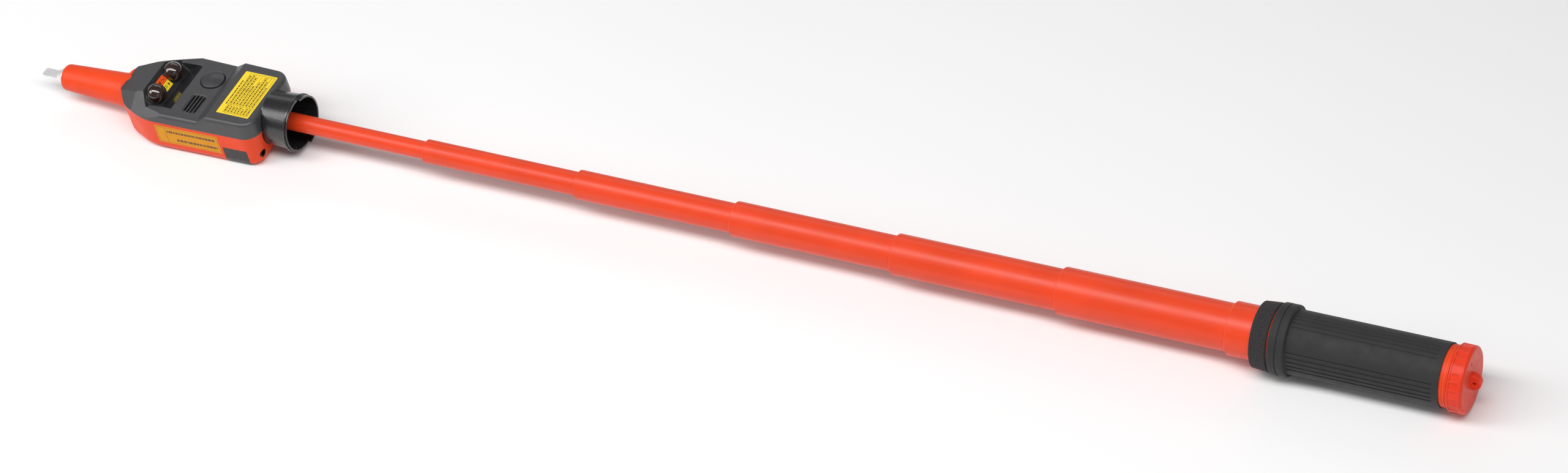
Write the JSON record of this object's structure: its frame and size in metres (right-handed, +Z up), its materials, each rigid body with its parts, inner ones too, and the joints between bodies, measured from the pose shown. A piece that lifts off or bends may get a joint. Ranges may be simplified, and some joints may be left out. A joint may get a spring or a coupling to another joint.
{
  "type": "non contact voltage tester",
  "caption": "Telescopic proximity voltage tester: flat head with lamps, test button and metal tip on a sliding-tube pole with a rubber grip.",
  "frame": {"origin": "under the middle of the overall length, on the surface the tester lies on", "axes": "+X along the pole towards the handle's end cap, +Z up out of the head's lamp cover, +Y to the far side"},
  "size_m": [1.0146, 0.0616, 0.045],
  "materials": {
    "tube_orange": "smooth resin-rich tube, satin gloss",
    "shell_orange": "moulded, satin",
    "cap_orange": "moulded, satin",
    "cover_grey": "fine spark-eroded grain",
    "collar_black": "moulded, glossy",
    "button_grey": "fine grain",
    "door_black": "fine grain",
    "grip_rubber": "matte moulded rubber",
    "band_webbing": "woven elastic band",
    "bush_black": "plain moulded",
    "seal_rubber": "smooth",
    "lens_smoke": "polished dark smoked plastic",
    "led_red": "clear tinted epoxy",
    "tile_orange": "printed, satin",
    "tile_yellow": "printed, satin",
    "label_yellow": "printed film, ruled lines only",
    "label_amber": "printed film, ruled lines only",
    "nickel": "nickel plated",
    "steel": "zinc plated",
    "brass": "turned",
    "board_green": "solder mask",
    "cell_steel": "plain wrapped cell"
  },
  "bodies": {
    "handle": {"handle_tube": "tube_orange", "grip_core": "shell_orange", "rubber_grip": "grip_rubber", "grip_band": "band_webbing", "tail_bush": "bush_black"},
    "stage_6": {"tube_6": "tube_orange", "stop_ring_6": "bush_black"},
    "stage_5": {"tube_5": "tube_orange", "stop_ring_5": "bush_black"},
    "stage_4": {"tube_4": "tube_orange", "stop_ring_4": "bush_black"},
    "stage_3": {"tube_3": "tube_orange", "stop_ring_3": "bush_black"},
    "stage_2": {"tube_2": "tube_orange", "stop_ring_2": "bush_black"},
    "head": {"tube_1": "tube_orange", "stop_ring_1": "bush_black", "docking_collar": "collar_black", "pole_pin": "steel", "lower_shell": "shell_orange", "upper_cover": "cover_grey", "nose_cone": "shell_orange", "tip_ferrule": "nickel", "tip_blade": "nickel", "sensor_rod": "brass", "sensor_clip": "brass", "circuit_board": "board_green", "cover_screws": "steel", "lamp_lens_far": "lens_smoke", "lamp_lens_near": "lens_smoke", "lamp_led_far": "led_red", "lamp_led_near": "led_red", "ac_tile": "tile_orange", "dc_tile": "tile_yellow", "switch_body": "bush_black", "buzzer": "bush_black", "top_plate": "label_yellow", "side_plate": "label_amber", "battery_cells": "cell_steel", "battery_holder": "bush_black", "contact_bridge": "nickel", "contact_tabs": "nickel", "earth_terminal": "brass"},
    "button": {"test_button": "button_grey", "switch_plunger": "bush_black"},
    "door": {"battery_door": "door_black"},
    "cap_carriage": {"cap_seal": "seal_rubber"},
    "cap": {"end_cap": "cap_orange"}
  },
  "joints": [
    {"name": "draw_slide_6", "type": "slide", "parent": "handle", "child": "stage_6", "axis": [1, 0, 0], "range_m": [0, 0.1115]},
    {"name": "draw_slide_5", "type": "slide", "parent": "stage_6", "child": "stage_5", "axis": [1, 0, 0], "range_m": [0, 0.1115]},
    {"name": "draw_slide_4", "type": "slide", "parent": "stage_5", "child": "stage_4", "axis": [1, 0, 0], "range_m": [0, 0.1115]},
    {"name": "draw_slide_3", "type": "slide", "parent": "stage_4", "child": "stage_3", "axis": [1, 0, 0], "range_m": [0, 0.1115]},
    {"name": "draw_slide_2", "type": "slide", "parent": "stage_3", "child": "stage_2", "axis": [1, 0, 0], "range_m": [0, 0.1115]},
    {"name": "draw_slide_1", "type": "slide", "parent": "stage_2", "child": "head", "axis": [1, 0, 0], "range_m": [0, 0.1115]},
    {"name": "test_button_press", "type": "slide", "parent": "head", "child": "button", "axis": [0, 0, -1], "range_m": [0, 0.0012], "stiffness_N_per_m": 1500, "springref_m": -0.0004},
    {"name": "battery_door_slide", "type": "slide", "parent": "head", "child": "door", "axis": [0, -1, 0], "range_m": [0, 0.056]},
    {"name": "cap_turn", "type": "hinge", "parent": "cap_carriage", "child": "cap", "pos_m": [0.4913, 0, 0.0225], "axis": [1, 0, 0], "range_deg": [0, 1440]},
    {"name": "cap_advance", "type": "slide", "parent": "handle", "child": "cap_carriage", "axis": [1, 0, 0], "range_m": [0, 0.0061]}
  ],
  "couplings": [
    {"joint": "cap_advance", "follows": "cap_turn", "m_per_rad": 0.00023873}
  ]
}
